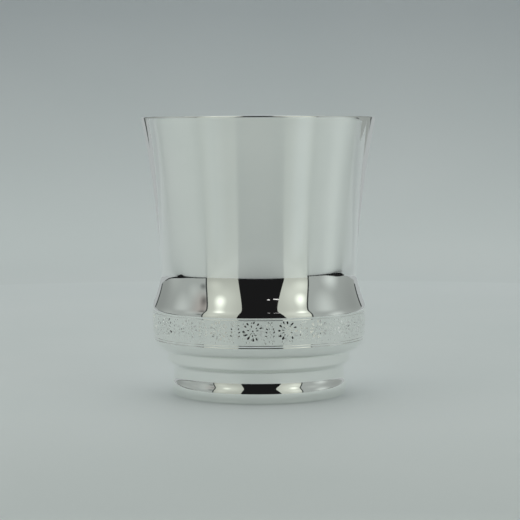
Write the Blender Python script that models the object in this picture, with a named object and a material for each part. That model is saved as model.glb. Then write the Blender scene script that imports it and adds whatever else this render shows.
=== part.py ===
"""Silver-plated beaker: a flared cup with an engraved flower frieze, on a low hollow foot."""

import math

import bmesh
import bpy

# Overall sizes, in metres
HEIGHT = 0.0865
RIM_RADIUS = 0.0365
CUP_WALL = 0.0009
FOOT_WALL = 0.0009
JOINT_GAP = 0.0003
SIDES = 56

# Flared wall, from the rim down to the waist
RIM_FLARE = math.radians(12.0)
RIM_REACH = 0.0128
WAIST_RADIUS = 0.0308
WAIST_HEIGHT = 0.0380
WAIST_REACH = 0.0148
WALL_STEPS = 6

# Shoulder and crest of the belly
SHOULDER_SLOPE = math.radians(19.0)
SHOULDER_RADIUS = 0.0331
SHOULDER_HEIGHT = 0.0288
SHOULDER_REACH = 0.0014
WAIST_LOWER_REACH = 0.0040
SHOULDER_STEPS = 4
CREST_RADIUS = 0.0335
CREST_HEIGHT = 0.0270
CREST_STEPS = 2

# Band and the rounded underside of the cup
BAND_FOOT_RADIUS = 0.0332
BAND_FOOT_HEIGHT = 0.0175
UNDERSIDE_SLOPE = math.radians(-30.0)
UNDERSIDE_REACH = 0.0010
UNDERSIDE_STEPS = 3
CUP_SEAT_RADIUS = 0.0290
CUP_SEAT_REACH = 0.0024
CUP_BASE_HEIGHT = 0.0142

# Foot: collar, cove, neck and base ring
COLLAR_RADIUS = 0.0287
COLLAR_FOOT_HEIGHT = 0.0110
COVE_STEPS = 3
NECK_RADIUS = 0.0268
NECK_HEIGHT = 0.0090
NECK_FOOT_HEIGHT = 0.00655
RING_RADIUS = 0.0275
RING_HEIGHT = 0.00305
RING_STEPS = 4
BASE_RADIUS = 0.0273
BASE_ROUNDING = 0.0003
HEM_WIDTH = 0.0016
HEM_HEIGHT = 0.0012

# Flower frieze, cut into the band as small wedges
FLOWER_COUNT = 20
FLOWER_HEIGHT = 0.0229
FLOWER_TURN = math.radians(-3.2)
PETAL_COUNT = 10
PETAL_INNER = 0.0011
PETAL_OUTER = 0.0030
PETAL_WIDTH = 0.00075
PETAL_DEPTH = 0.00016
LEAF_LENGTH = 0.0017
LEAF_WIDTH = 0.00062
LEAF_DEPTH = 0.00014
LEAF_SPREAD = 0.0009
LEAF_RISE = 0.0013
LEAF_LEAN = math.radians(38.0)
WEDGE_PROUD = 0.0004
WIDEST_SHARE = 0.6

# Silver plate
SILVER_COLOUR = (0.93, 0.93, 0.91, 1.0)
SILVER_ROUGHNESS = 0.06
SMOOTH_ANGLE = math.radians(32.0)


def down(slope, reach):
    """A step down the wall; a positive slope leads outwards."""
    return (reach * math.sin(slope), -reach * math.cos(slope))


def curve(start, start_step, end_step, end, steps):
    """Points of a Bezier curve after its start, with its handles given as steps from its ends."""
    handles = (
        start,
        (start[0] + start_step[0], start[1] + start_step[1]),
        (end[0] + end_step[0], end[1] + end_step[1]),
        end,
    )
    points = []
    for step in range(1, steps + 1):
        t = step / steps
        weights = ((1 - t) ** 3, 3 * (1 - t) ** 2 * t, 3 * (1 - t) * t**2, t**3)
        points.append(tuple(sum(w * h[axis] for w, h in zip(weights, handles)) for axis in (0, 1)))
    return points


def back(step):
    return (-step[0], -step[1])


def cup_outer():
    """Outer side of the cup from just below the rim to the middle of its base, as (radius, height)."""
    rim = (RIM_RADIUS, HEIGHT - CUP_WALL / 2)
    waist = (WAIST_RADIUS, WAIST_HEIGHT)
    shoulder = (SHOULDER_RADIUS, SHOULDER_HEIGHT)
    crest = (CREST_RADIUS, CREST_HEIGHT)
    band_foot = (BAND_FOOT_RADIUS, BAND_FOOT_HEIGHT)
    seat = (CUP_SEAT_RADIUS, CUP_BASE_HEIGHT)
    rounding = (SHOULDER_HEIGHT - CREST_HEIGHT) / 3
    points = [rim]
    points += curve(rim, down(-RIM_FLARE, RIM_REACH), back(down(0, WAIST_REACH)), waist, WALL_STEPS)
    points += curve(
        waist,
        down(0, WAIST_LOWER_REACH),
        back(down(SHOULDER_SLOPE, SHOULDER_REACH)),
        shoulder,
        SHOULDER_STEPS,
    )
    points += curve(shoulder, down(SHOULDER_SLOPE, rounding), back(down(0, rounding)), crest, CREST_STEPS)
    points.append(band_foot)
    points += curve(
        band_foot,
        down(UNDERSIDE_SLOPE, UNDERSIDE_REACH),
        (CUP_SEAT_REACH, 0),
        seat,
        UNDERSIDE_STEPS,
    )
    points.append((0.0, CUP_BASE_HEIGHT))
    return points


def foot_outer():
    """Outer side of the foot from its soldered edge to its rounded foot edge, as (radius, height)."""
    collar = (COLLAR_RADIUS, CUP_BASE_HEIGHT - JOINT_GAP)
    collar_foot = (COLLAR_RADIUS, COLLAR_FOOT_HEIGHT)
    neck = (NECK_RADIUS, NECK_HEIGHT)
    neck_foot = (NECK_RADIUS, NECK_FOOT_HEIGHT)
    ring = (RING_RADIUS, RING_HEIGHT)
    cove = (COLLAR_FOOT_HEIGHT - NECK_HEIGHT) / 2
    bend = (NECK_FOOT_HEIGHT - RING_HEIGHT) / 2
    points = [collar, collar_foot]
    points += curve(collar_foot, down(0, cove), back(down(0, cove)), neck, COVE_STEPS)
    points.append(neck_foot)
    points += curve(neck_foot, down(0, bend), back(down(0, bend)), ring, RING_STEPS)
    points.append((BASE_RADIUS, BASE_ROUNDING))
    return points


def foot_hem():
    """The folded hem that the foot stands on, from the floor up to the inner side of the sheet."""
    inner = BASE_RADIUS - HEM_WIDTH
    return [
        (BASE_RADIUS - BASE_ROUNDING, 0.0),
        (inner, 0.0),
        (inner, HEM_HEIGHT),
        (BASE_RADIUS - FOOT_WALL, HEM_HEIGHT),
    ]


def across(before, after):
    """Unit vector across the way from one point to another, pointing into the sheet."""
    run, rise = after[0] - before[0], after[1] - before[1]
    length = math.hypot(run, rise)
    return (rise / length, -run / length)


def inner_side(outer, wall):
    """The outer side moved into the sheet by the wall thickness, with mitred corners."""
    moved = []
    for index, point in enumerate(outer):
        first = across(outer[max(index - 1, 0)], outer[max(index, 1)])
        last = across(outer[min(index, len(outer) - 2)], outer[min(index + 1, len(outer) - 1)])
        share = wall / (1 + first[0] * last[0] + first[1] * last[1])
        moved.append((point[0] + share * (first[0] + last[0]), point[1] + share * (first[1] + last[1])))
    return moved


def turned_mesh(name, profile, closed):
    """Turns a profile of (radius, height) about Z. A closed profile makes a ring, an open one ends on the axis."""
    mesh = bmesh.new()
    rings = []
    for radius, height in profile:
        if radius == 0:
            rings.append([mesh.verts.new((0, 0, height))] * SIDES)
            continue
        turns = [2 * math.pi * side / SIDES for side in range(SIDES)]
        rings.append([mesh.verts.new((radius * math.cos(t), radius * math.sin(t), height)) for t in turns])
    following = rings[1:] + rings[:1] if closed else rings[1:]
    for ring, lower in zip(rings, following):
        for side in range(SIDES):
            after = (side + 1) % SIDES
            corners = (ring[side], ring[after], lower[after], lower[side])
            mesh.faces.new(list(dict.fromkeys(corners)))
    bmesh.ops.recalc_face_normals(mesh, faces=mesh.faces)
    data = bpy.data.meshes.new(name)
    mesh.to_mesh(data)
    mesh.free()
    data.shade_smooth()
    data.set_sharp_from_angle(angle=SMOOTH_ANGLE)
    return data


def silver():
    material = bpy.data.materials.new("silver_plate")
    material.use_nodes = True
    shader = material.node_tree.nodes["Principled BSDF"]
    shader.inputs["Base Color"].default_value = SILVER_COLOUR
    shader.inputs["Metallic"].default_value = 1.0
    shader.inputs["Roughness"].default_value = SILVER_ROUGHNESS
    return material


def place(name, data, parent):
    thing = bpy.data.objects.new(name, data)
    bpy.context.scene.collection.objects.link(thing)
    thing.parent = parent
    return thing


def band_radius(height):
    """Outer radius of the band at a height."""
    share = (height - BAND_FOOT_HEIGHT) / (CREST_HEIGHT - BAND_FOOT_HEIGHT)
    return BAND_FOOT_RADIUS + share * (CREST_RADIUS - BAND_FOOT_RADIUS)


def add_wedge(mesh, turn, height, start, end, width, depth):
    """A wedge that cuts a petal or leaf, from start to end in (sideways, up) about a point of the band."""
    along = (end[0] - start[0], end[1] - start[1])
    length = math.hypot(*along)
    side = (-along[1] / length * width / 2, along[0] / length * width / 2)
    widest = (start[0] + along[0] * WIDEST_SHARE, start[1] + along[1] * WIDEST_SHARE)
    outline = (
        start,
        (widest[0] - side[0], widest[1] - side[1]),
        end,
        (widest[0] + side[0], widest[1] + side[1]),
    )

    def on_band(point, proud):
        radius = band_radius(height + point[1]) + proud
        angle = turn + point[0] / CREST_RADIUS
        return (radius * math.sin(angle), -radius * math.cos(angle), height + point[1])

    outside = [mesh.verts.new(on_band(point, WEDGE_PROUD)) for point in outline]
    surface = [mesh.verts.new(on_band(point, 0)) for point in outline]
    deepest = mesh.verts.new(on_band(widest, -depth))
    mesh.faces.new(outside)
    for corner in range(4):
        after = (corner + 1) % 4
        mesh.faces.new((outside[corner], outside[after], surface[after], surface[corner]))
        mesh.faces.new((surface[corner], surface[after], deepest))


def frieze_cutter(parent):
    """All the wedges of the frieze: a ring of petals for each flower, and two leaves between two flowers."""
    mesh = bmesh.new()
    for flower in range(FLOWER_COUNT):
        turn = FLOWER_TURN + 2 * math.pi * flower / FLOWER_COUNT
        for petal in range(PETAL_COUNT):
            angle = 2 * math.pi * petal / PETAL_COUNT
            start = (PETAL_INNER * math.sin(angle), PETAL_INNER * math.cos(angle))
            end = (PETAL_OUTER * math.sin(angle), PETAL_OUTER * math.cos(angle))
            add_wedge(mesh, turn, FLOWER_HEIGHT, start, end, PETAL_WIDTH, PETAL_DEPTH)
        between = turn + math.pi / FLOWER_COUNT
        for sign in (-1, 1):
            start = (sign * LEAF_SPREAD / 2, sign * LEAF_RISE / 2)
            end = (
                start[0] + LEAF_LENGTH * math.sin(LEAF_LEAN),
                start[1] + sign * LEAF_LENGTH * math.cos(LEAF_LEAN),
            )
            add_wedge(mesh, between, FLOWER_HEIGHT, start, end, LEAF_WIDTH, LEAF_DEPTH)
    bmesh.ops.recalc_face_normals(mesh, faces=mesh.faces)
    data = bpy.data.meshes.new("frieze_cutter")
    mesh.to_mesh(data)
    mesh.free()
    cutter = place("frieze_cutter", data, parent)
    cutter.hide_render = True
    cutter.display_type = "WIRE"
    return cutter


def make_cup(parent, material):
    outer = cup_outer()
    inner = inner_side(outer, CUP_WALL)
    inner[-1] = (0.0, inner[-1][1])
    lip = (RIM_RADIUS - CUP_WALL / 2 * math.cos(RIM_FLARE), HEIGHT)
    data = turned_mesh("cup", inner[::-1] + [lip] + outer, closed=False)
    data.materials.append(material)
    cup = place("cup", data, parent)
    cut = cup.modifiers.new("frieze", "BOOLEAN")
    cut.operation = "DIFFERENCE"
    cut.object = frieze_cutter(parent)
    return cup


def make_foot(parent, material):
    outer = foot_outer()
    inner = inner_side(outer, FOOT_WALL)[:-1]
    data = turned_mesh("foot", outer + foot_hem() + inner[::-1], closed=True)
    data.materials.append(material)
    return place("foot", data, parent)


def main():
    for thing in list(bpy.data.objects):
        bpy.data.objects.remove(thing, do_unlink=True)
    beaker = place("beaker", None, None)
    make_cup(beaker, silver())
    make_foot(beaker, silver())


main()
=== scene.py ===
"""Looks of the silver-plated beaker: bright silver, an engraved flower frieze and a soft light tent."""

import math
import random

import bpy
import numpy as np
from mathutils import Matrix, Vector
from mathutils.geometry import delaunay_2d_cdt


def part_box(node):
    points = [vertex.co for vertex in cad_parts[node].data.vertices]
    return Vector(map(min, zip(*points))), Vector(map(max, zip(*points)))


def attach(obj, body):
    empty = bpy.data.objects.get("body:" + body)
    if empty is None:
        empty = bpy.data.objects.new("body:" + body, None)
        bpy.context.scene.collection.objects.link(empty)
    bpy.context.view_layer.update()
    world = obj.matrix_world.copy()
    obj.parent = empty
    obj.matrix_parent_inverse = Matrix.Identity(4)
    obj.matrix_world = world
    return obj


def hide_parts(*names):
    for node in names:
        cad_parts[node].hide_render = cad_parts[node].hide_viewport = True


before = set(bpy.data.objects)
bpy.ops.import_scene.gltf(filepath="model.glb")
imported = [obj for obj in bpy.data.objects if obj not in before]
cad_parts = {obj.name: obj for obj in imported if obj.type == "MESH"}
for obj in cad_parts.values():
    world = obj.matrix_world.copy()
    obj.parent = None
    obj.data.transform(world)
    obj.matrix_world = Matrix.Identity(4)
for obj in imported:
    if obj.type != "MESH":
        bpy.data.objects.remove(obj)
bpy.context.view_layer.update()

# Sizes that the solids fix, in metres
CUP_LOW, CUP_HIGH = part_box("cup")
FOOT_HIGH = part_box("foot")[1]
HEIGHT = CUP_HIGH.z
RIM_RADIUS = CUP_HIGH.x
COLLAR_RADIUS = FOOT_HIGH.x
SEAM_DROP = 0.0004
SEAM_HEIGHT = CUP_LOW.z - SEAM_DROP
CUP_WALL = 0.0009
FOOT_WALL = 0.0009

# Flared wall, shoulder and crest of the cup
RIM_FLARE = math.radians(12.0)
RIM_REACH = 0.0128
WAIST_RADIUS = 0.0308
WAIST_HEIGHT = 0.0380
WAIST_REACH = 0.0148
WAIST_LOWER_REACH = 0.0040
SHOULDER_SLOPE = math.radians(19.0)
SHOULDER_RADIUS = 0.03318
SHOULDER_HEIGHT = 0.0284
SHOULDER_REACH = 0.0014
CREST_RADIUS = 0.0335
CREST_HEIGHT = 0.0266

# Band, underside and seat of the cup
BAND_FOOT_RADIUS = 0.0332
BAND_FOOT_HEIGHT = 0.0175
UNDERSIDE_SLOPE = math.radians(-30.0)
UNDERSIDE_REACH = 0.0010
CUP_SEAT_RADIUS = 0.0290
CUP_SEAT_REACH = 0.0024

# Foot
COLLAR_FOOT_HEIGHT = 0.0110
NECK_RADIUS = 0.0268
NECK_HEIGHT = 0.0090
NECK_FOOT_HEIGHT = 0.0067
RING_RADIUS = 0.0275
RING_HEIGHT = 0.0027
BASE_RADIUS = 0.0273
BASE_ROUNDING = 0.0006
HEM_WIDTH = 0.0016
HEM_HEIGHT = 0.0012

# Engraved lines round the band: height and width of each, and the slope of their sides
LINES = ((0.02615, 0.00036), (0.01848, 0.00036), (0.01784, 0.00052))
LINE_SLOPE = 0.25

# Rim: a rounded outer edge that ends in a crisp corner, a flat top and a softer inner edge
LIP_ROUNDING = 0.00056
LIP_TURN = math.radians(35.0)
LIP_CORNER = 0.00003
LIP_INNER_REACH = 0.00025

# Mesh fineness
COLUMNS = 360
WALL_STEPS = 40
SHOULDER_STEPS = 26
CREST_STEPS = 10
UNDERSIDE_STEPS = 18
FOOT_STEPS = 16
LIP_STEPS = 10
BASE_STEPS = 12
FLOOR_RINGS = 5
SHARP_ANGLE = math.radians(12.0)
PLACES_PER_METRE = 1e7

# Flower frieze, in millimetres on the unrolled band
FLOWER_COUNT = 20
FLOWER_HEIGHT = 22.9
FLOWER_HEIGHT_SWAY = 0.1
FLOWER_TURN = math.radians(-3.2)
FLOWER_START = math.radians(2.0)
FLOWER_START_SWAY = 0.2
FLOWER_SQUASH = 0.97
FRIEZE_TOP = 25.9
FRIEZE_FOOT = 18.7
FRIEZE_ROWS = 12
FRIEZE_SEED = 20
TILE_START = -6
MM = 0.001
MERGE_DISTANCE = 1e-5
GROUND_DEPTH = 1e-4
BAND_SHARE = 0.99

# Every cut: its facet's unit of tilt, the steepness of its sides, its room and the sizes it is tried at
FACET_TILT = math.radians(7.0)
SIDE_STEEPNESS = 1.6
TILE_MARGIN = 0.05
CUT_CLEARANCE = 0.01
CUT_REACH = 1.7
GRID_CLEARANCE = 0.1
SHALLOWEST = 0.004
SIDE_SHARE = 0.55
CUT_SIZES = (1.0, 0.85, 0.7, 0.55)

# Petals; here and below, tilts are in units of FACET_TILT, and turns and leans in radians
PETALS = 12
PETAL_SWAY = 0.13
PETAL_RING = 2.55
PETAL_RING_RANGE = (0.9, 1.08)
PETAL_LENGTH = 1.2
PETAL_LENGTH_RANGE = (0.75, 1.2)
PETAL_WIDTH = 0.68
PETAL_WIDTH_RANGE = (0.75, 1.1)
PETAL_TILT_RANGE = (0.9, 1.6)
PETAL_LEAN = (-1.3, 0.1)
PETAL_TURN = 0.35

# Strokes and pricks inside the petals, and the flower's eye
STROKES = 11
STROKE_RING = (1.3, 1.5)
STROKE_TILTS = (-2.0, 1.5, 1.8, 2.2)
STROKE_LENGTH = (0.7, 1.0)
STROKE_WIDTH = 0.4
STROKE_LEAN = (-1.2, 0.3)
PRICKS = 5
PRICK_RING = 0.72
PRICK_TILTS = (-1.6, 1.5, 1.9)
PRICK_LENGTH = 0.42
PRICK_WIDTH = 0.34
EYE_TILT = 1.6
EYE_LENGTH = 0.5
EYE_WIDTH = 0.56

# Spray between two flowers: stems, leaves beside them, two leaves at the tip and a row of buds
STEM_STEPS = 5
STEM_FOOT = -1.9
STEM_RISE = 0.88
STEM_OFFSET = 0.8
STEM_OFFSET_STEP = 0.38
STEM_TURN = 0.42
STEM_TILTS = (-1.9, 1.7)
STEM_LENGTH = 0.8
STEM_WIDTH = 0.2
LEAVES = 4
LEAF_FOOT = -1.5
LEAF_RISE = 1.05
LEAF_RISE_SWAY = 0.12
LEAF_OFFSET = 1.2
LEAF_OFFSET_STEP = 0.1
LEAF_OFFSET_SWAY = 0.1
LEAF_TURN = 0.8
LEAF_TURN_SWAY = 0.4
LEAF_TILTS = (1.2, 1.4, 1.6, 2.0)
LEAF_LENGTH = (0.6, 0.95)
LEAF_WIDTH = 0.44
LEAF_LEAN = (-0.1, 1.2)
TIP_OFFSET = 0.45
TIP_RISE = 2.45
TIP_TURN = 1.05
TIP_TILT = 1.5
TIP_LENGTH = 0.72
TIP_WIDTH = 0.28
TIP_LEAN = (-0.5, 0.3)
BUDS = 5
BUD_SPREAD = 0.6
BUD_FOOT = -2.5
BUD_RISE = 0.42
BUD_TILTS = (-1.5, 1.5)
BUD_LENGTH = 0.24
BUD_WIDTH = 0.2

# Fine scratches over the ground
SCRATCHES = 70
SCRATCH_SIDE_MARGIN = 0.3
SCRATCH_END_MARGIN = 0.4
SCRATCH_TILTS = (-2.0, 1.5, 1.9)
SCRATCH_LENGTH = (0.4, 0.85)
SCRATCH_WIDTH = 0.2
SCRATCH_LEAN = (-0.8, 0.5)
SCRATCH_TURN = 0.5

# Silver: its tones, its roughness from smoothest to roughest, and the scale of its polishing
PLATE_TONES = ((0.945, 0.96, 0.935, 1.0), (0.97, 0.98, 0.955, 1.0))
PLATE_ROUGHNESS = (0.018, 0.04)
ENGRAVED_TONES = ((0.90, 0.91, 0.89, 1.0), (0.95, 0.96, 0.94, 1.0))
ENGRAVED_ROUGHNESS = (0.03, 0.08)
CLOUD_SCALE = 55.0
CLOUD_DETAIL = 3.0
BUFFING_SCALE = (40.0, 40.0, 3200.0)
BUFFING_DETAIL = 2.0
WAVE_SCALE = 130.0
WAVE_STRENGTH = 0.12
WAVE_DEPTH = 0.00008

# Camera
CAMERA_DISTANCE = 0.5586
CAMERA_HEIGHT = 0.0811
CAMERA_TILT = math.radians(4.031)
CAMERA_PAN = math.radians(-0.042)
CAMERA_ROLL = math.radians(-0.18)
CAMERA_LENS = 123.4
SENSOR_WIDTH = 36.0

# Light tent: radii and heights in metres, azimuths in degrees with 0 towards the camera
WALL_RADIUS = 0.52
RIGHT_WALL_RADIUS = 0.45
FLAP_RADIUS = 0.515
TENT_HEIGHT = 0.72
BACK_RADIUS = 0.70
BACK_LEFT = 110
BACK_RIGHT = 250
EYE_HEIGHT = 0.035
OPENING_LEFT = -22.9
OPENING_RIGHT = 28.4
OPENING_TOP_LEFT = -17.1
OPENING_TOP_RIGHT = 14.9
OPENING_MARGIN = 2
CORNER_LEFT = -61.0
CORNER_RIGHT = 57.0
WALL_END_LEFT = -146.0
WALL_END_RIGHT = 142.0
SLOT_DEPTH = 0.2
SLOT_DROP = 0.0015
ROOF_STEP = 5
CLOTH_STEPS = 48
LAMP_HEIGHT = 0.010
LAMP_SETBACK = 0.002
LAMPS = (("lamp_small", 9.8, 12.4, 27.0), ("lamp_wide", 16.5, 23.0, 26.2))

# Dark strips before the tent's corners and wall ends: metres forward, degrees wide, metres at the foot
STRIP_FORWARD = 0.004
SEAM_HALF = 0.9
EDGE_OUT = 2.5
EDGE_IN = 1.5
LEFT_EDGE_FOOT = 0.036
RIGHT_EDGE_FOOT = 0.042

# Dark patches on the floor, hidden from the camera: azimuths of one end, the tip and the other end, and how
# far the tip reaches
LEFT_DARK_PATCH = (-91, -99, -108)
LEFT_DARK_PATCH_REACH = 0.05
RIGHT_DARK_PATCH = (88, 99, 113)
RIGHT_DARK_PATCH_REACH = 0.014
DARK_PATCH_HEIGHT = 0.0006

# Colours and strengths of the tent's glow
WALL_COLOUR = (0.93, 1.0, 0.97, 1.0)
FLAP_COLOUR = (0.95, 1.0, 0.90, 1.0)
FOLD_COLOUR = (1.0, 0.95, 0.90, 1.0)
STRIP_COLOUR = (0.9, 1.0, 0.98, 1.0)
ROOM_COLOUR = (0.95, 0.95, 1.0, 1.0)
LAMP_COLOUR = (1.0, 0.98, 0.97, 1.0)
BACK_COLOUR = (0.93, 0.99, 1.0, 1.0)
ROOF_COLOUR = (0.97, 1.0, 0.98, 1.0)
WALL_GLOW = 0.37
LEFT_FLAP_GLOW = 0.385
RIGHT_FLAP_GLOW = 0.42
SEAM_GLOW = 0.05
EDGE_GLOW = 0.06
ROOM_GLOW = 0.0105
LAMP_GLOW = 0.95
BACK_GLOW = 0.44
ROOF_GLOW = 1.12

# Paper of the floor and the backdrop
PAPER_TONES = ((0.74, 0.79, 0.785, 1.0), (0.76, 0.805, 0.80, 1.0))
PAPER_SCALE = 9.0
PAPER_DETAIL = 2.0
PAPER_ROUGHNESS = 0.55
PAPER_SPECULAR = 0.12
SHADE_COLOUR = (0.69, 0.695, 0.725, 1.0)
SHADE_START = 0.015
SHADE_END = 0.165

# Floor beyond the picture: where it begins in front and at the sides, and its looks there
FRONT_START = -0.18
FRONT_END = -0.29
SIDE_START = 0.16
SIDE_END = 0.28
PALE_SHARE = 0.5
PALE_COLOUR = (0.87, 0.915, 0.90, 1.0)
PALE_ROUGHNESS = 0.30
PALE_SPECULAR = 0.41
FLOOR_GLOW_COLOUR = (0.94, 1.0, 1.06, 1.0)
FLOOR_GLOW = (0.018, 0.09)

# Floor and backdrop as forms
FLOOR_STEPS = 96
FLOOR_GAP = 0.002
FLOOR_RADII = (0.06, 0.12, 0.25, 0.45, BACK_RADIUS - FLOOR_GAP)
SWEEP_RADIUS = 0.26
SWEEP_GAP = 0.012
SWEEP_LIFT = 0.0002
SWEEP_STEPS = 24
SWEEP_TOP = TENT_HEIGHT - 0.01

# The walls' lower edges: azimuth, height of the paper below the gap, height of the cloth above it
LEFT_HEM = (
    (-146, 0.034, 0.034),
    (-138, 0.034, 0.034),
    (-134, 0.031, 0.037),
    (-123, 0.016, 0.024),
    (-111, 0.003, 0.017),
    (-104, 0.0, 0.016),
    (-97, 0.0, 0.013),
    (-87, 0.0, 0.005),
    (-82, 0.0, 0.003),
    (-61, 0.0, 0.002),
)
RIGHT_HEM = (
    (57, 0.0, 0.002),
    (80, 0.0, 0.003),
    (90, 0.0, 0.005),
    (100, 0.0, 0.007),
    (108, 0.001, 0.007),
    (115, 0.005, 0.005),
    (124, 0.012, 0.012),
    (132, 0.026, 0.026),
    (142, 0.031, 0.031),
)

# Brighter and darker spots of the cloths: azimuth, elevation, radius and gain
LEFT_WALL_SPOTS = (
    (-97, 28, 0.19, 0.22),
    (-112, -2, 0.16, 0.05),
    (-140, 16, 0.42, -0.11),
    (-78, 14, 0.12, 0.08),
    (-66, 36, 0.08, -0.27),
    (-65, 24, 0.07, -0.21),
    (-65, 9, 0.06, -0.18),
)
RIGHT_WALL_SPOTS = (
    (81, 27, 0.17, 0.20),
    (88, -1, 0.14, 0.26),
    (128, 18, 0.34, -0.09),
    (61, 42, 0.07, -0.26),
    (63, 33, 0.05, -0.16),
)
LEFT_FLAP_SPOTS = ((-45, 27, 0.085, 0.60), (-44, 26, 0.22, 0.10), (-40, 24, 0.42, 0.13), (-50, 7, 0.12, 0.10))
RIGHT_FLAP_SPOTS = ((48.5, 25, 0.085, 0.60), (46, 22, 0.22, 0.12), (42, 16, 0.40, 0.13), (49, 7, 0.13, 0.17))
FOLD_TINT = (-67, 28, 0.20)

# Pools of light on the floor: place, radius and gain
FLOOR_POOLS = (
    ((0.0, -0.02, 0.0), 0.135, 0.05),
    ((0.185, -0.195, 0.0), 0.07, 0.095),
    ((-0.185, -0.19, 0.0), 0.07, 0.05),
)


def down(slope, reach):
    """A step down the wall; a positive slope leads outwards."""
    return (reach * math.sin(slope), -reach * math.cos(slope))


def back(step):
    return (-step[0], -step[1])


def curve(start, start_step, end_step, end, steps):
    """Points of a Bezier curve after its start, with its handles given as steps from its ends."""
    handles = (
        start,
        (start[0] + start_step[0], start[1] + start_step[1]),
        (end[0] + end_step[0], end[1] + end_step[1]),
        end,
    )
    points = []
    for step in range(1, steps + 1):
        t = step / steps
        weights = ((1 - t) ** 3, 3 * (1 - t) ** 2 * t, 3 * (1 - t) * t**2, t**3)
        points.append(tuple(sum(w * h[axis] for w, h in zip(weights, handles)) for axis in (0, 1)))
    return points


def across(before, after):
    """Unit vector across the way from one point to another, pointing into the sheet."""
    run, rise = after[0] - before[0], after[1] - before[1]
    length = math.hypot(run, rise)
    return (rise / length, -run / length)


def inner_side(outer, wall):
    """The outer side moved into the sheet by the wall thickness, with mitred corners."""
    moved = []
    for index, point in enumerate(outer):
        first = across(outer[max(index - 1, 0)], outer[max(index, 1)])
        last = across(outer[min(index, len(outer) - 2)], outer[min(index + 1, len(outer) - 1)])
        share = wall / (1 + first[0] * last[0] + first[1] * last[1])
        moved.append((point[0] + share * (first[0] + last[0]), point[1] + share * (first[1] + last[1])))
    return moved


def band_radius(height):
    """Outer radius of the plain band at a height."""
    share = (height - BAND_FOOT_HEIGHT) / (CREST_HEIGHT - BAND_FOOT_HEIGHT)
    return BAND_FOOT_RADIUS + share * (CREST_RADIUS - BAND_FOOT_RADIUS)


def upper_outer():
    """Outer side of the cup from the rim to the crest of the belly."""
    rim = lip_point(-RIM_FLARE)
    waist = (WAIST_RADIUS, WAIST_HEIGHT)
    shoulder = (SHOULDER_RADIUS, SHOULDER_HEIGHT)
    crest = (CREST_RADIUS, CREST_HEIGHT)
    rounding = (SHOULDER_HEIGHT - CREST_HEIGHT) / 3
    points = [rim]
    points += curve(rim, down(-RIM_FLARE, RIM_REACH), back(down(0, WAIST_REACH)), waist, WALL_STEPS)
    points += curve(
        waist,
        down(0, WAIST_LOWER_REACH),
        back(down(SHOULDER_SLOPE, SHOULDER_REACH)),
        shoulder,
        SHOULDER_STEPS,
    )
    points += curve(shoulder, down(SHOULDER_SLOPE, rounding), back(down(0, rounding)), crest, CREST_STEPS)
    return points


def lower_outer():
    """Outer side of the cup from the foot of the band to the middle of its base."""
    band_foot = (BAND_FOOT_RADIUS, BAND_FOOT_HEIGHT)
    seat = (CUP_SEAT_RADIUS, SEAM_HEIGHT)
    points = [band_foot]
    points += curve(
        band_foot,
        down(UNDERSIDE_SLOPE, UNDERSIDE_REACH),
        (CUP_SEAT_REACH, 0),
        seat,
        UNDERSIDE_STEPS,
    )
    for ring in range(1, FLOOR_RINGS + 1):
        points.append((CUP_SEAT_RADIUS * (1 - ring / FLOOR_RINGS), SEAM_HEIGHT))
    return points


def groove(height, width):
    """Three points of an engraved line round the band, from top to bottom."""
    edge = width / 2
    return [
        (band_radius(height + edge), height + edge),
        (band_radius(height) - edge * LINE_SLOPE, height),
        (band_radius(height - edge), height - edge),
    ]


def lip_point(turn):
    """A point of the rim's outer rounding, by the way that it faces above level."""
    middle = HEIGHT - LIP_CORNER - LIP_ROUNDING * math.sin(LIP_TURN)
    return (
        RIM_RADIUS - LIP_ROUNDING * (1 - math.cos(turn)),
        middle + LIP_ROUNDING * math.sin(turn),
    )


def lip(inner_rim):
    """The edge of the rim, from the inner side of the sheet over the top to the outer side."""
    top = (inner_rim[0] + LIP_INNER_REACH, HEIGHT)
    reach = (HEIGHT - inner_rim[1]) / 2
    points = curve(inner_rim, back(down(-RIM_FLARE, reach)), (-LIP_INNER_REACH / 2, 0), top, LIP_STEPS)
    corner = lip_point(LIP_TURN)
    points.append((corner[0] - LIP_CORNER, HEIGHT))
    for step in range(LIP_STEPS):
        points.append(lip_point(LIP_TURN - (LIP_TURN + RIM_FLARE) * step / LIP_STEPS))
    return points


def column_point(radius, height, column):
    angle = FLOWER_TURN + 2 * math.pi * column / COLUMNS
    return (radius * math.sin(angle), -radius * math.cos(angle), height)


class Shell:
    """Collects points and faces of one mesh, and merges points that share a place."""

    def __init__(self):
        self.points = []
        self.faces = []
        self.marks = []
        self.found = {}

    def point(self, place):
        key = tuple(round(value * PLACES_PER_METRE) for value in place)
        if key not in self.found:
            self.found[key] = len(self.points)
            self.points.append(place)
        return self.found[key]

    def face(self, places, mark=0):
        corners = list(dict.fromkeys(self.point(place) for place in places))
        if len(corners) > 2:
            self.faces.append(corners)
            self.marks.append(mark)

    def turn(self, profile):
        """Turns a profile that runs down the outer side about the axis."""
        for (radius, height), (next_radius, next_height) in zip(profile, profile[1:]):
            for column in range(COLUMNS):
                self.face(
                    (
                        column_point(radius, height, column),
                        column_point(next_radius, next_height, column),
                        column_point(next_radius, next_height, column + 1),
                        column_point(radius, height, column + 1),
                    )
                )

    def mesh(self, name):
        data = bpy.data.meshes.new(name)
        data.from_pydata(self.points, [], self.faces)
        data.validate()
        data.shade_smooth()
        data.set_sharp_from_angle(angle=SHARP_ANGLE)
        thing = bpy.data.objects.new(name, data)
        bpy.context.scene.collection.objects.link(thing)
        return thing


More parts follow.
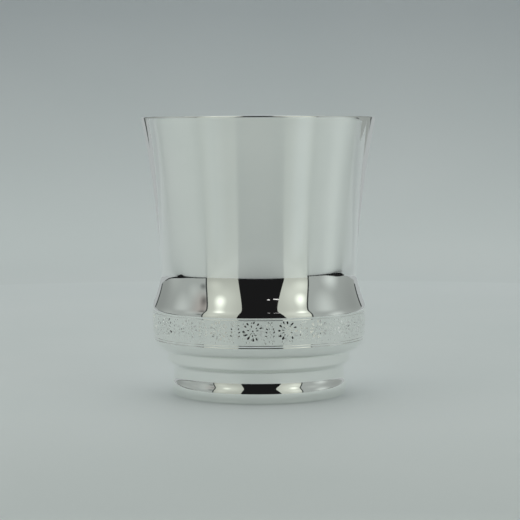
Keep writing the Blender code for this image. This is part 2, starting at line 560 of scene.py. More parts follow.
PETAL_OUTLINE = (
    (-0.5, 0.0),
    (-0.32, -0.3),
    (0.0, -0.47),
    (0.3, -0.45),
    (0.47, -0.2),
    (0.47, 0.2),
    (0.3, 0.45),
    (0.0, 0.47),
    (-0.32, 0.3),
)
STROKE_OUTLINE = ((-0.5, 0.0), (-0.2, -0.42), (0.2, -0.42), (0.5, 0.0), (0.2, 0.42), (-0.2, 0.42))


def cut(middle, angle, length, width, tilt, lean, shape):
    """A graver's cut: one broad flat facet inside steep narrow sides.

    The angle turns the cut's length from upright towards the right. The facet faces upwards by the tilt,
    or downwards where the tilt is negative, and leans to one side.
    """
    along = (math.sin(angle), math.cos(angle))
    side = (math.cos(angle), -math.sin(angle))
    outline = []
    for run, off in shape:
        run, off = run * length, off * width
        x = middle[0] + along[0] * run + side[0] * off
        y = middle[1] + along[1] * run + side[1] * off
        outline.append((x, y))
    sign = 1 if tilt > 0 else -1
    slope = math.tan(abs(tilt))
    grade = (sign * slope * math.sin(lean), sign * slope * math.cos(lean))
    low = min(x * grade[0] + y * grade[1] for x, y in outline)
    return middle, outline, grade, low


def petal_cut(middle, angle, length, width, tilt, lean):
    return cut(middle, angle, length, width, tilt, lean, PETAL_OUTLINE)


def stroke_cut(middle, angle, length, width, tilt, lean=0.0):
    return cut(middle, angle, length, width, tilt, lean, STROKE_OUTLINE)


def around(middle, radius, angle, squash=1.0):
    """A place round a middle; the angle turns from upright towards the right."""
    return (middle[0] + radius * math.sin(angle), middle[1] + radius * math.cos(angle) * squash)


def flower_cuts(chance, middle, start):
    """One daisy: a ring of petals, finer strokes and pricks inside it, and its eye."""
    cuts = []
    for petal in range(PETALS):
        angle = start + 2 * math.pi * petal / PETALS + chance.uniform(-PETAL_SWAY, PETAL_SWAY)
        radius = PETAL_RING * chance.uniform(*PETAL_RING_RANGE)
        length = PETAL_LENGTH * chance.uniform(*PETAL_LENGTH_RANGE)
        width = PETAL_WIDTH * chance.uniform(*PETAL_WIDTH_RANGE)
        tilt = FACET_TILT * chance.uniform(*PETAL_TILT_RANGE)
        lean = chance.uniform(*PETAL_LEAN)
        turn = angle + chance.uniform(-PETAL_TURN, PETAL_TURN)
        place = around(middle, radius, angle, FLOWER_SQUASH)
        cuts.append(petal_cut(place, turn, length, width, tilt, lean))
    for stroke in range(STROKES):
        angle = start + 2 * math.pi * (stroke + 0.5) / STROKES
        place = around(middle, chance.uniform(*STROKE_RING), angle)
        tilt = FACET_TILT * chance.choice(STROKE_TILTS)
        length = chance.uniform(*STROKE_LENGTH)
        lean = chance.uniform(*STROKE_LEAN)
        cuts.append(stroke_cut(place, angle, length, STROKE_WIDTH, tilt, lean))
    for prick in range(PRICKS):
        angle = start + 2 * math.pi * prick / PRICKS
        tilt = FACET_TILT * chance.choice(PRICK_TILTS)
        cuts.append(stroke_cut(around(middle, PRICK_RING, angle), angle, PRICK_LENGTH, PRICK_WIDTH, tilt))
    cuts.append(petal_cut(middle, 0.0, EYE_LENGTH, EYE_WIDTH, FACET_TILT * EYE_TILT, 0.0))
    return cuts


def stem_cuts(chance, middle, side):
    """One of the two crossing stems of a spray, as a row of short strokes."""
    cuts = []
    for step in range(STEM_STEPS):
        offset = side * (STEM_OFFSET - STEM_OFFSET_STEP * step)
        rise = STEM_FOOT + STEM_RISE * step
        tilt = FACET_TILT * chance.choice(STEM_TILTS)
        place = (middle[0] + offset, middle[1] + rise)
        cuts.append(stroke_cut(place, -side * STEM_TURN, STEM_LENGTH, STEM_WIDTH, tilt))
    return cuts


def leaf_cuts(chance, middle, side):
    """The leaves on one side of a spray, from the lowest to the one at the tip."""
    cuts = []
    for leaf in range(LEAVES):
        rise = LEAF_FOOT + LEAF_RISE * leaf + chance.uniform(-LEAF_RISE_SWAY, LEAF_RISE_SWAY)
        sway = chance.uniform(-LEAF_OFFSET_SWAY, LEAF_OFFSET_SWAY)
        offset = LEAF_OFFSET - LEAF_OFFSET_STEP * leaf + sway
        turn = side * (LEAF_TURN + chance.uniform(-LEAF_TURN_SWAY, LEAF_TURN_SWAY))
        tilt = FACET_TILT * chance.choice(LEAF_TILTS)
        length = chance.uniform(*LEAF_LENGTH)
        lean = chance.uniform(*LEAF_LEAN)
        place = (middle[0] + side * offset, middle[1] + rise)
        cuts.append(petal_cut(place, turn, length, LEAF_WIDTH, tilt, lean))
    place = (middle[0] + side * TIP_OFFSET, middle[1] + TIP_RISE)
    lean = chance.uniform(*TIP_LEAN)
    cuts.append(petal_cut(place, side * TIP_TURN, TIP_LENGTH, TIP_WIDTH, FACET_TILT * TIP_TILT, lean))
    return cuts


def spray_cuts(chance, middle):
    """The leaf spray between two flowers: crossing stems, small leaves and a row of buds."""
    cuts = []
    for side in (-1, 1):
        cuts += stem_cuts(chance, middle, side)
        cuts += leaf_cuts(chance, middle, side)
    for bud in range(BUDS):
        sway = chance.uniform(-BUD_SPREAD, BUD_SPREAD)
        tilt = FACET_TILT * chance.choice(BUD_TILTS)
        place = (middle[0] + sway, middle[1] + BUD_FOOT + BUD_RISE * bud)
        cuts.append(stroke_cut(place, 0.0, BUD_LENGTH, BUD_WIDTH, tilt))
    return cuts


def scratch_cuts(chance, left, right):
    """Fine near-upright scratches of the graver over the ground between the flowers."""
    cuts = []
    for _ in range(SCRATCHES):
        across_tile = chance.uniform(left + SCRATCH_SIDE_MARGIN, right - SCRATCH_SIDE_MARGIN)
        level = chance.uniform(FRIEZE_FOOT + SCRATCH_END_MARGIN, FRIEZE_TOP - SCRATCH_END_MARGIN)
        tilt = FACET_TILT * chance.choice(SCRATCH_TILTS)
        length = chance.uniform(*SCRATCH_LENGTH)
        lean = chance.uniform(*SCRATCH_LEAN)
        turn = chance.uniform(-SCRATCH_TURN, SCRATCH_TURN)
        cuts.append(stroke_cut((across_tile, level), turn, length, SCRATCH_WIDTH, tilt, lean))
    return cuts


def edge_distance(points, outline):
    """How far inside an outline each point is; below zero outside it."""
    turn = 0
    for start, end in zip(outline, outline[1:] + outline[:1]):
        turn += (end[0] - start[0]) * (end[1] + start[1])
    sign = 1 if turn > 0 else -1
    distance = np.full(len(points), np.inf)
    for start, end in zip(outline, outline[1:] + outline[:1]):
        run, rise = end[0] - start[0], end[1] - start[1]
        inward = np.array((rise, -run)) * sign / math.hypot(run, rise)
        distance = np.minimum(distance, (points - start) @ inward)
    return distance


def depths(points, cuts):
    """Depth of the engraving at each point of the unrolled band."""
    depth = np.zeros(len(points))
    for middle, outline, grade, low in cuts:
        reach = max(math.dist(middle, corner) for corner in outline)
        near = np.flatnonzero(np.abs(points - middle).max(axis=1) <= reach)
        if len(near):
            facet = points[near] @ np.array(grade) - low
            side = 2 * SIDE_STEEPNESS * edge_distance(points[near], outline)
            depth[near] = np.maximum(depth[near], np.minimum(facet, side))
    return depth


def cut_corners(this_cut):
    """Corners of a cut's facet: each outline corner moved in as far as its steep side needs."""
    middle, outline, grade, low = this_cut
    corners = []
    for x, y in outline:
        depth = x * grade[0] + y * grade[1] - low
        share = min(depth / SIDE_STEEPNESS / math.dist(middle, (x, y)), SIDE_SHARE)
        if depth < SHALLOWEST:
            corners.append(None)
        else:
            corners.append((x + (middle[0] - x) * share, y + (middle[1] - y) * share))
    return corners


def shrunk(this_cut, size):
    """The same cut at a smaller size, about its own middle."""
    middle, outline, grade, _ = this_cut
    outline = [(middle[0] + (x - middle[0]) * size, middle[1] + (y - middle[1]) * size) for x, y in outline]
    low = min(x * grade[0] + y * grade[1] for x, y in outline)
    return middle, outline, grade, low


def fits(this_cut, kept, left, right):
    """True for a cut that lies on its tile and touches no cut made before it."""
    middle, outline, _, _ = this_cut
    for x, y in outline:
        if not left + TILE_MARGIN < x < right - TILE_MARGIN:
            return False
        if not FRIEZE_FOOT + TILE_MARGIN < y < FRIEZE_TOP - TILE_MARGIN:
            return False
    own = np.array(outline)
    for other in kept:
        if math.dist(middle, other[0]) > CUT_REACH:
            continue
        if edge_distance(own, other[1]).max() > -CUT_CLEARANCE:
            return False
        if edge_distance(np.array(other[1]), outline).max() > -CUT_CLEARANCE:
            return False
    return True


def tile_cuts(chance, flower, left, right):
    """The cuts of one flower and the spray after it, in order of weight.

    A cut that would touch another is made smaller, and left out where that isn't enough.
    """
    pitch = 2 * math.pi * CREST_RADIUS / MM / FLOWER_COUNT
    start = FLOWER_START
    height = FLOWER_HEIGHT
    if flower:
        start += chance.uniform(-FLOWER_START_SWAY, FLOWER_START_SWAY)
        height += chance.uniform(-FLOWER_HEIGHT_SWAY, FLOWER_HEIGHT_SWAY)
    wanted = flower_cuts(chance, (0.0, height), start)
    wanted += spray_cuts(chance, (pitch / 2, FLOWER_HEIGHT))
    wanted += scratch_cuts(chance, left, right)
    kept = []
    for this_cut in wanted:
        for size in CUT_SIZES:
            smaller = shrunk(this_cut, size)
            if fits(smaller, kept, left, right):
                kept.append(smaller)
                break
    return kept


def add_tile(shell, cuts, left_column):
    """Fills one tile of the band with a mesh that follows every cut."""
    girth = 2 * math.pi * CREST_RADIUS / MM
    column_width = girth / COLUMNS
    tile_columns = COLUMNS // FLOWER_COUNT
    left = TILE_START * column_width
    points = []
    edges = []
    middles = np.array([this_cut[0] for this_cut in cuts])
    reaches = np.array([max(math.dist(this_cut[0], corner) for corner in this_cut[1]) for this_cut in cuts])
    for row in range(FRIEZE_ROWS + 1):
        level = FRIEZE_FOOT + (FRIEZE_TOP - FRIEZE_FOOT) * row / FRIEZE_ROWS
        for column in range(tile_columns + 1):
            x = left + column * column_width
            on_edge = row in (0, FRIEZE_ROWS) or column in (0, tile_columns)
            apart = np.hypot(middles[:, 0] - x, middles[:, 1] - level)
            clear = (apart > reaches + GRID_CLEARANCE).all()
            if on_edge or clear:
                points.append(Vector((x, level)))
    for this_cut in cuts:
        outline = this_cut[1]
        corners = cut_corners(this_cut)
        outer = list(range(len(points), len(points) + len(outline)))
        points += [Vector(corner) for corner in outline]
        inner = []
        for index, corner in enumerate(corners):
            if corner is None:
                inner.append(outer[index])
            else:
                inner.append(len(points))
                points.append(Vector(corner))
        count = len(outline)
        for index in range(count):
            after = (index + 1) % count
            edges.append((outer[index], outer[after]))
            if inner[index] != inner[after] and (inner[index], inner[after]) != (outer[index], outer[after]):
                edges.append((inner[index], inner[after]))
            if inner[index] != outer[index]:
                edges.append((outer[index], inner[index]))
    placed, _, faces, _, _, _ = delaunay_2d_cdt(points, edges, [], 0, MERGE_DISTANCE)
    flat = np.array([tuple(point) for point in placed])
    depth = np.clip(depths(flat, cuts), 0, None)
    centres = np.array([flat[list(face)].mean(axis=0) for face in faces])
    in_cut = depths(centres, cuts) > GROUND_DEPTH
    turned = FLOWER_TURN + (flat[:, 0] / girth + left_column / COLUMNS) * 2 * math.pi
    radii = np.array([band_radius(y * MM) for y in flat[:, 1]]) - depth * MM
    places = np.stack((radii * np.sin(turned), -radii * np.cos(turned), flat[:, 1] * MM), axis=1)
    for face, cut_face in zip(faces, in_cut):
        shell.face([tuple(places[corner]) for corner in face], int(cut_face))


def add_frieze(shell):
    """Engraves the band, one flower and one spray at a time."""
    chance = random.Random(FRIEZE_SEED)
    tile_columns = COLUMNS // FLOWER_COUNT
    column_width = 2 * math.pi * CREST_RADIUS / MM / COLUMNS
    left = TILE_START * column_width
    right = left + tile_columns * column_width
    for flower in range(FLOWER_COUNT):
        add_tile(shell, tile_cuts(chance, flower, left, right), flower * tile_columns)


def set_cut_normals(thing, marks):
    """Keeps the band's shading smooth up to the edge of each cut, and each facet of a cut flat."""
    data = thing.data
    marks = np.array(marks)
    data.polygons.foreach_set("use_smooth", marks == 0)
    data.polygons.foreach_set("material_index", marks)
    normals = np.zeros((len(data.loops), 3))
    slope = (CREST_RADIUS - BAND_FOOT_RADIUS) / (CREST_HEIGHT - BAND_FOOT_HEIGHT)
    tilt = math.atan(slope)
    for polygon in data.polygons:
        middle = polygon.center
        level = FRIEZE_FOOT * MM < middle.z < FRIEZE_TOP * MM
        outside = middle.xy.length > BAND_FOOT_RADIUS * BAND_SHARE
        if marks[polygon.index] or not (level and outside):
            continue
        for loop in polygon.loop_indices:
            place = data.vertices[data.loops[loop].vertex_index].co
            radius = place.xy.length
            normals[loop] = (
                place.x / radius * math.cos(tilt),
                place.y / radius * math.cos(tilt),
                -math.sin(tilt),
            )
    data.normals_split_custom_set(normals.tolist())


def make_cup():
    """The cup; above the crest its unseen inner side keeps every other point."""
    upper = upper_outer()
    lower = lower_outer()
    top_line, high_line, low_line = (groove(height, width) for height, width in LINES)
    frieze_top = (band_radius(FRIEZE_TOP * MM), FRIEZE_TOP * MM)
    frieze_foot = (band_radius(FRIEZE_FOOT * MM), FRIEZE_FOOT * MM)
    inner = inner_side(upper + lower, CUP_WALL)
    inner[-1] = (0.0, inner[-1][1])
    crest = len(upper) - 1
    inner = inner[:crest:2] + inner[crest:]
    shell = Shell()
    shell.turn(inner[::-1] + lip(inner[0]) + upper + top_line + [frieze_top])
    add_frieze(shell)
    shell.turn([frieze_foot] + high_line + low_line + lower)
    return shell, shell.mesh("silver_cup")


def make_foot():
    """The hollow foot, with a folded hem inside its lower edge."""
    collar = (COLLAR_RADIUS, SEAM_HEIGHT)
    collar_foot = (COLLAR_RADIUS, COLLAR_FOOT_HEIGHT)
    neck = (NECK_RADIUS, NECK_HEIGHT)
    neck_foot = (NECK_RADIUS, NECK_FOOT_HEIGHT)
    ring = (RING_RADIUS, RING_HEIGHT)
    base = (BASE_RADIUS, BASE_ROUNDING)
    cove = (COLLAR_FOOT_HEIGHT - NECK_HEIGHT) / 2
    bend = (NECK_FOOT_HEIGHT - RING_HEIGHT) / 2
    outer = [collar, collar_foot]
    outer += curve(collar_foot, down(0, cove), back(down(0, cove)), neck, FOOT_STEPS)
    outer.append(neck_foot)
    outer += curve(neck_foot, down(0, bend), back(down(0, bend)), ring, FOOT_STEPS)
    outer += curve(ring, down(0, RING_HEIGHT / 3), back(down(0, RING_HEIGHT / 4)), base, FOOT_STEPS)
    inner = inner_side(outer, FOOT_WALL)[:-3]
    round_end = (BASE_RADIUS - BASE_ROUNDING, 0.0)
    outer += curve(base, down(0, BASE_ROUNDING / 2), (BASE_ROUNDING / 2, 0), round_end, BASE_STEPS)
    inside = BASE_RADIUS - HEM_WIDTH
    hem = [(inside, 0.0), (inside, HEM_HEIGHT), (BASE_RADIUS - FOOT_WALL, HEM_HEIGHT)]
    inner = [point for point in inner if point[1] > HEM_HEIGHT]
    shell = Shell()
    shell.turn(outer + hem + inner[::-1] + outer[:1])
    return shell.mesh("silver_foot")


def new_material(name):
    material = bpy.data.materials.new(name)
    material.use_nodes = True
    return material, material.node_tree.nodes, material.node_tree.links


def noise(nodes, links, vector, scale, detail):
    texture = nodes.new("ShaderNodeTexNoise")
    texture.inputs["Scale"].default_value = scale
    texture.inputs["Detail"].default_value = detail
    links.new(vector, texture.inputs["Vector"])
    return texture.outputs["Fac"]


def ranged(nodes, links, value, low, high, from_low=0.35, from_high=0.65):
    """A value brought from one range into another."""
    span = nodes.new("ShaderNodeMapRange")
    span.inputs["From Min"].default_value = from_low
    span.inputs["From Max"].default_value = from_high
    span.inputs["To Min"].default_value = low
    span.inputs["To Max"].default_value = high
    links.new(value, span.inputs["Value"])
    return span.outputs["Result"]


def feed(links, socket, value):
    """Gives a socket the output of another node, or a plain value."""
    if isinstance(value, bpy.types.NodeSocket):
        links.new(value, socket)
    else:
        socket.default_value = value


def blended(nodes, links, first, second, factor, kind="MIX"):
    """Two colours brought together by a factor."""
    mix = nodes.new("ShaderNodeMix")
    mix.data_type = "RGBA"
    mix.blend_type = kind
    feed(links, mix.inputs["A"], first)
    feed(links, mix.inputs["B"], second)
    feed(links, mix.inputs["Factor"], factor)
    return mix.outputs["Result"]


def combined(nodes, links, operation, first, second=0.0):
    """One or two values put through a Math node."""
    node = nodes.new("ShaderNodeMath")
    node.operation = operation
    feed(links, node.inputs[0], first)
    feed(links, node.inputs[1], second)
    return node.outputs["Value"]


def silver_material(name, tones, roughness):
    """Polished silver: soft clouds of tone, buffing lines round the body and faint polishing waves."""
    material, nodes, links = new_material(name)
    shader = nodes["Principled BSDF"]
    shader.inputs["Metallic"].default_value = 1.0
    place = nodes.new("ShaderNodeTexCoord").outputs["Object"]
    clouds = ranged(nodes, links, noise(nodes, links, place, CLOUD_SCALE, CLOUD_DETAIL), 0.0, 1.0)
    links.new(blended(nodes, links, *tones, clouds), shader.inputs["Base Color"])
    lines = nodes.new("ShaderNodeMapping")
    lines.inputs["Scale"].default_value = BUFFING_SCALE
    links.new(place, lines.inputs["Vector"])
    buffing = noise(nodes, links, lines.outputs["Vector"], 1.0, BUFFING_DETAIL)
    links.new(ranged(nodes, links, buffing, *roughness), shader.inputs["Roughness"])
    waves = noise(nodes, links, place, WAVE_SCALE, 1.0)
    bump = nodes.new("ShaderNodeBump")
    bump.inputs["Strength"].default_value = WAVE_STRENGTH
    bump.inputs["Distance"].default_value = WAVE_DEPTH
    links.new(waves, bump.inputs["Height"])
    links.new(bump.outputs["Normal"], shader.inputs["Normal"])
    return material


def fade_from(nodes, links, place, spot, radius, gain):
    """A soft round spot: the gain at its middle, nothing beyond its radius."""
    apart = nodes.new("ShaderNodeVectorMath")
    apart.operation = "DISTANCE"
    apart.inputs[1].default_value = spot
    links.new(place, apart.inputs[0])
    fade = nodes.new("ShaderNodeMapRange")
    fade.interpolation_type = "SMOOTHSTEP"
    fade.inputs["From Min"].default_value = 0.0
    fade.inputs["From Max"].default_value = radius
    fade.inputs["To Min"].default_value = gain
    fade.inputs["To Max"].default_value = 0.0
    links.new(apart.outputs["Value"], fade.inputs["Value"])
    return fade.outputs["Result"]


def glow_material(name, colour, strength, spots, tint=None):
    """A lit cloth: an even glow, with soft brighter or darker spots given as (place, radius, gain).

    A tint, given as (place, radius, colour), changes its colour round one place.
    """
    material, nodes, links = new_material(name)
    nodes.remove(nodes["Principled BSDF"])
    shader = nodes.new("ShaderNodeEmission")
    shader.inputs["Color"].default_value = colour
    links.new(shader.outputs["Emission"], nodes["Material Output"].inputs["Surface"])
    place = nodes.new("ShaderNodeTexCoord").outputs["Object"]
    total = strength
    for spot, radius, gain in spots:
        total = combined(nodes, links, "ADD", fade_from(nodes, links, place, spot, radius, gain), total)
    if tint is not None:
        spot, radius, other = tint
        share = fade_from(nodes, links, place, spot, radius, 1.0)
        links.new(blended(nodes, links, colour, other, share), shader.inputs["Color"])
    feed(links, shader.inputs["Strength"], total)
    return material


def on_tent(azimuth, elevation, radius=WALL_RADIUS):
    """A place on the tent as the belly of the cup sees it; azimuth 0 is straight towards the camera."""
    angle = math.radians(azimuth)
    height = EYE_HEIGHT + radius * math.tan(math.radians(elevation))
    return (radius * math.sin(angle), -radius * math.cos(angle), height)


def spots_on(rows, distance):
    """The spots of a cloth that hangs at a distance from the axis."""
    spots = []
    for azimuth, elevation, radius, gain in rows:
        spots.append((on_tent(azimuth, elevation, distance), radius, gain))
    return spots


def stage_mesh(name, points, faces, material, seen=False):
    """A piece of the studio. What isn't seen still lights the cup and shows in its reflections."""
    data = bpy.data.meshes.new(name)
    data.from_pydata(points, [], faces)
    data.materials.append(material)
    data.shade_smooth()
    thing = bpy.data.objects.new(name, data)
    bpy.context.scene.collection.objects.link(thing)
    thing.visible_camera = seen
    return thing


def curtain(name, left, right, low, high, radius, material, top_left=None, top_right=None, steps=24):
    """An upright cloth round part of the tent, between two azimuths and two heights."""
    top_left = left if top_left is None else top_left
    top_right = right if top_right is None else top_right
    points = []
    faces = []
    for step in range(steps + 1):
        share = step / steps
        for height, start, end in ((low, left, right), (high, top_left, top_right)):
            azimuth = start + (end - start) * share
            angle = math.radians(azimuth)
            height = height(azimuth) if callable(height) else height
            points.append((radius * math.sin(angle), -radius * math.cos(angle), height))
    for step in range(steps):
        faces.append((2 * step, 2 * step + 1, 2 * step + 3, 2 * step + 2))
    return stage_mesh(name, points, faces, material)


def hem_heights(hem, edge):
    """The height of the paper (1) or of the cloth (2) at a wall's foot, by azimuth."""
    azimuths = [knot[0] for knot in hem]
    heights = [knot[edge] for knot in hem]
    return lambda azimuth: float(np.interp(azimuth, azimuths, heights))


def gap(name, hem, radius, material, steps=90):
    """The dark gap between the paper and the cloth at a wall's foot."""
    low = hem_heights(hem, 1)
    high = hem_heights(hem, 2)
    curtain(name, hem[0][0], hem[-1][0], low, high, radius, material, steps=steps)


def dark_patch_on_floor(name, azimuths, radius, reach, material):
    """A pointed dark patch that lies just above the floor in front of a wall, as dim as the dark room and
    hidden from the camera.
    """
    points = []
    for azimuth, distance in zip(azimuths, (radius, radius - reach, radius)):
        angle = math.radians(azimuth)
        points.append((distance * math.sin(angle), -distance * math.cos(angle), DARK_PATCH_HEIGHT))
    stage_mesh(name, points, [(0, 1, 2)], material)


def make_walls():
    """The two side walls of the tent."""
    spots = spots_on(LEFT_WALL_SPOTS, WALL_RADIUS)
    azimuth, elevation, radius = FOLD_TINT
    tint = (on_tent(azimuth, elevation), radius, FOLD_COLOUR)
    cloth = glow_material("left_wall_cloth", WALL_COLOUR, WALL_GLOW, spots, tint)
    foot = hem_heights(LEFT_HEM, 2)
    left, right = WALL_END_LEFT, CORNER_LEFT
    curtain("tent_wall_left", left, right, foot, TENT_HEIGHT, WALL_RADIUS, cloth, steps=CLOTH_STEPS)
    spots = spots_on(RIGHT_WALL_SPOTS, RIGHT_WALL_RADIUS)
    cloth = glow_material("right_wall_cloth", WALL_COLOUR, WALL_GLOW, spots)
    foot = hem_heights(RIGHT_HEM, 2)
    left, right = CORNER_RIGHT, WALL_END_RIGHT
    curtain("tent_wall_right", left, right, foot, TENT_HEIGHT, RIGHT_WALL_RADIUS, cloth, steps=CLOTH_STEPS)


def make_flaps():
    """The two flaps beside the tent's opening; each has a bright spot where a lamp shines through."""
    spots = spots_on(LEFT_FLAP_SPOTS, FLAP_RADIUS)
    cloth = glow_material("left_flap_cloth", FLAP_COLOUR, LEFT_FLAP_GLOW, spots)
    curtain(
        "tent_flap_left",
        CORNER_LEFT,
        OPENING_LEFT,
        0.0,
        TENT_HEIGHT,
        FLAP_RADIUS,
        cloth,
        CORNER_LEFT,
        OPENING_TOP_LEFT,
    )
    spots = spots_on(RIGHT_FLAP_SPOTS, FLAP_RADIUS)
    cloth = glow_material("right_flap_cloth", FLAP_COLOUR, RIGHT_FLAP_GLOW, spots)
    curtain(
        "tent_flap_right",
        OPENING_RIGHT,
        CORNER_RIGHT,
        0.0,
        TENT_HEIGHT,
        FLAP_RADIUS,
        cloth,
        OPENING_TOP_RIGHT,
        CORNER_RIGHT,
    )


def make_opening(room):
    """The dark room behind the tent's opening, and the lamps at its top."""
    left, right = OPENING_LEFT - OPENING_MARGIN, OPENING_RIGHT + OPENING_MARGIN
    curtain("dark_opening", left, right, 0.0, TENT_HEIGHT, WALL_RADIUS, room)
    left = WALL_RADIUS * math.sin(math.radians(OPENING_TOP_LEFT))
    right = WALL_RADIUS * math.sin(math.radians(OPENING_TOP_RIGHT))
    level = TENT_HEIGHT - SLOT_DROP
    slot = [(left, -WALL_RADIUS, level), (right, -WALL_RADIUS, level)]
    slot += [(right, -SLOT_DEPTH, level), (left, -SLOT_DEPTH, level)]
    stage_mesh("dark_roof_slot", slot, [(0, 1, 2, 3)], room)
    lamp = glow_material("lamp_glow", LAMP_COLOUR, LAMP_GLOW, ())
    for name, left, right, elevation in LAMPS:
        low = on_tent(0, elevation)[2]
        curtain(name, left, right, low, low + LAMP_HEIGHT, FLAP_RADIUS + LAMP_SETBACK, lamp, steps=4)


def make_strips():
    """Dark upright strips at the tent's corners and at the ends of its walls."""
    seam = glow_material("seam_cloth", STRIP_COLOUR, SEAM_GLOW, ())
    edge = glow_material("wall_edge_cloth", STRIP_COLOUR, EDGE_GLOW, ())
    flap, wall, right_wall = (r - STRIP_FORWARD for r in (FLAP_RADIUS, WALL_RADIUS, RIGHT_WALL_RADIUS))
    left, right = CORNER_LEFT - SEAM_HALF, CORNER_LEFT + SEAM_HALF
    curtain("tent_seam_left", left, right, 0.0, TENT_HEIGHT, flap, seam, steps=2)
    left, right = CORNER_RIGHT - SEAM_HALF, CORNER_RIGHT + SEAM_HALF
    curtain("tent_seam_right", left, right, 0.0, TENT_HEIGHT, right_wall, seam, steps=2)
    left, right = WALL_END_LEFT - EDGE_OUT, WALL_END_LEFT + EDGE_IN
    curtain("wall_edge_left", left, right, LEFT_EDGE_FOOT, TENT_HEIGHT, wall, edge, steps=4)
    left, right = WALL_END_RIGHT - EDGE_IN, WALL_END_RIGHT + EDGE_OUT
    curtain("wall_edge_right", left, right, RIGHT_EDGE_FOOT, TENT_HEIGHT, right_wall, edge, steps=4)


def make_tent():
    make_walls()
    make_flaps()
    room = glow_material("dark_room", ROOM_COLOUR, ROOM_GLOW, ())
    make_opening(room)
    make_strips()
    gap("gap_left", LEFT_HEM[1:], WALL_RADIUS, room)
    gap("gap_right", RIGHT_HEM[:-3], RIGHT_WALL_RADIUS, room)
    # Near-black patches on the floor before both walls, which show only in the cup's reflections
    dark_patch_on_floor("floor_dark_patch_left", LEFT_DARK_PATCH, WALL_RADIUS, LEFT_DARK_PATCH_REACH, room)
    dark_patch_on_floor("floor_dark_patch_right", RIGHT_DARK_PATCH, RIGHT_WALL_RADIUS, RIGHT_DARK_PATCH_REACH, room)
    sheet = glow_material("back_sheet", BACK_COLOUR, BACK_GLOW, ())
    curtain("back_sheet", BACK_LEFT, BACK_RIGHT, 0.0, TENT_HEIGHT, BACK_RADIUS, sheet, steps=CLOTH_STEPS)
    roof = glow_material("tent_roof_cloth", ROOF_COLOUR, ROOF_GLOW, ())
    ring = []
    for turn in range(0, 360, ROOF_STEP):
        angle = math.radians(turn)
        ring.append((BACK_RADIUS * math.cos(angle), BACK_RADIUS * math.sin(angle), TENT_HEIGHT))
    stage_mesh("tent_roof", ring, [tuple(range(len(ring)))], roof)


def paper_material(name):
    """Studio paper with soft clouds of tone; also returns what its users build on."""
    material, nodes, links = new_material(name)
    shader = nodes["Principled BSDF"]
    shader.inputs["Roughness"].default_value = PAPER_ROUGHNESS
    shader.inputs["Specular IOR Level"].default_value = PAPER_SPECULAR
    place = nodes.new("ShaderNodeTexCoord").outputs["Object"]
    clouds = ranged(nodes, links, noise(nodes, links, place, PAPER_SCALE, PAPER_DETAIL), 0.0, 1.0)
    colour = blended(nodes, links, *PAPER_TONES, clouds)
    parts = nodes.new("ShaderNodeSeparateXYZ")
    links.new(place, parts.inputs["Vector"])
    return material, shader, place, parts.outputs, colour


def floor_material():
    """Paper that is paler, brighter and glossier beyond the picture, where only the cup shows it."""
    material, shader, place, parts, colour = paper_material("floor_sheet")
    nodes, links = material.node_tree.nodes, material.node_tree.links
    front = ranged(nodes, links, parts["Y"], 1.0, 0.0, FRONT_END, FRONT_START)
    offset = combined(nodes, links, "ABSOLUTE", parts["X"])
    side = ranged(nodes, links, offset, 0.0, PALE_SHARE, SIDE_START, SIDE_END)
    beyond = combined(nodes, links, "MAXIMUM", front, side)
    links.new(blended(nodes, links, colour, PALE_COLOUR, beyond), shader.inputs["Base Color"])
    glow = ranged(nodes, links, beyond, *FLOOR_GLOW, 0.0, 1.0)
    for spot, radius, gain in FLOOR_POOLS:
        pool = fade_from(nodes, links, place, spot, radius, gain)
        glow = combined(nodes, links, "ADD", glow, pool)
    links.new(glow, shader.inputs["Emission Strength"])
    shader.inputs["Emission Color"].default_value = FLOOR_GLOW_COLOUR
    for name, seen, pale in (
        ("Roughness", PAPER_ROUGHNESS, PALE_ROUGHNESS),
        ("Specular IOR Level", PAPER_SPECULAR, PALE_SPECULAR),
    ):
        links.new(ranged(nodes, links, beyond, seen, pale, 0.0, PALE_SHARE), shader.inputs[name])
    return material


def backdrop_material():
    """Paper that gets darker with height."""
    material, shader, _, parts, colour = paper_material("sweep_sheet")
    nodes, links = material.node_tree.nodes, material.node_tree.links
    height = ranged(nodes, links, parts["Z"], 0.0, 1.0, SHADE_START, SHADE_END)
    shaded = blended(nodes, links, colour, SHADE_COLOUR, height, "MULTIPLY")
    links.new(shaded, shader.inputs["Base Color"])
    return material


def level_ring(radius, height):
    """Points of a level circle about the axis."""
    angles = (2 * math.pi * step / FLOOR_STEPS for step in range(FLOOR_STEPS))
    return [(radius * math.cos(angle), radius * math.sin(angle), height) for angle in angles]


def make_floor():
    """A pale floor, for light and picture alike."""
    points = [(0.0, 0.0, 0.0)]
    for radius in FLOOR_RADII:
        points += level_ring(radius, 0.0)
    faces = []
    for step in range(FLOOR_STEPS):
        after = (step + 1) % FLOOR_STEPS
        faces.append((0, 1 + step, 1 + after))
        for ring in range(len(FLOOR_RADII) - 1):
            low = 1 + ring * FLOOR_STEPS
            high = low + FLOOR_STEPS
            faces.append((low + step, high + step, high + after, low + after))
    stage_mesh("floor", points, faces, floor_material(), seen=True)


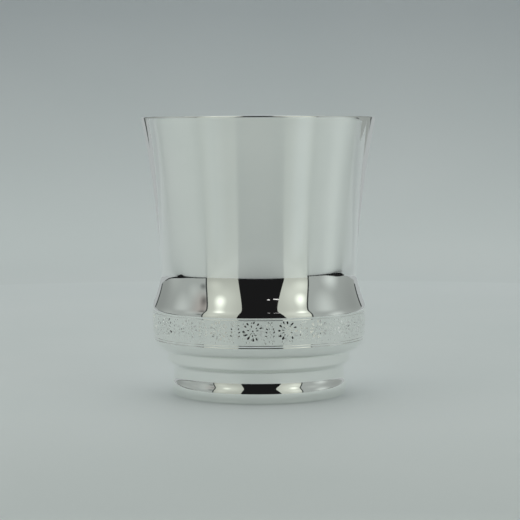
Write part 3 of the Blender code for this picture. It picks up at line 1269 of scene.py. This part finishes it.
def make_backdrop():
    """A sheet that curves up from the floor all round; only the camera sees it."""
    middle = BACK_RADIUS - SWEEP_GAP - SWEEP_RADIUS
    profile = [(middle, SWEEP_LIFT)]
    for step in range(1, SWEEP_STEPS + 1):
        angle = math.pi / 2 * step / SWEEP_STEPS
        rise = SWEEP_RADIUS * (1 - math.cos(angle))
        profile.append((middle + SWEEP_RADIUS * math.sin(angle), SWEEP_LIFT + rise))
    profile.append((middle + SWEEP_RADIUS, SWEEP_TOP))
    points = []
    for radius, height in profile:
        points += level_ring(radius, height)
    faces = []
    for ring in range(len(profile) - 1):
        low = ring * FLOOR_STEPS
        high = low + FLOOR_STEPS
        for step in range(FLOOR_STEPS):
            after = (step + 1) % FLOOR_STEPS
            faces.append((low + step, low + after, high + after, high + step))
    backdrop = stage_mesh("backdrop", points, faces, backdrop_material(), seen=True)
    backdrop.visible_glossy = False
    backdrop.visible_diffuse = False
    backdrop.visible_transmission = False
    backdrop.visible_shadow = False


def make_camera():
    data = bpy.data.cameras.new("camera")
    data.lens = CAMERA_LENS
    data.sensor_width = SENSOR_WIDTH
    camera = bpy.data.objects.new("camera", data)
    bpy.context.scene.collection.objects.link(camera)
    turned = (
        Matrix.Rotation(CAMERA_PAN, 4, "Z")
        @ Matrix.Rotation(math.pi / 2 - CAMERA_TILT, 4, "X")
        @ Matrix.Rotation(CAMERA_ROLL, 4, "Z")
    )
    camera.matrix_world = Matrix.Translation((0.0, -CAMERA_DISTANCE, CAMERA_HEIGHT)) @ turned
    bpy.context.scene.camera = camera


def main():
    make_camera()
    plate = silver_material("silver_plate", PLATE_TONES, PLATE_ROUGHNESS)
    graved = silver_material("engraved_silver", ENGRAVED_TONES, ENGRAVED_ROUGHNESS)
    shell, cup = make_cup()
    cup.data.materials.append(plate)
    cup.data.materials.append(graved)
    set_cut_normals(cup, shell.marks)
    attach(cup, "root")
    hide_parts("cup")
    foot = make_foot()
    foot.data.materials.append(plate)
    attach(foot, "root")
    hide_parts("foot")
    make_tent()
    make_floor()
    make_backdrop()
    bpy.context.scene.view_settings.view_transform = "Standard"
    world = bpy.data.worlds.new("studio_air")
    bpy.context.scene.world = world


main()
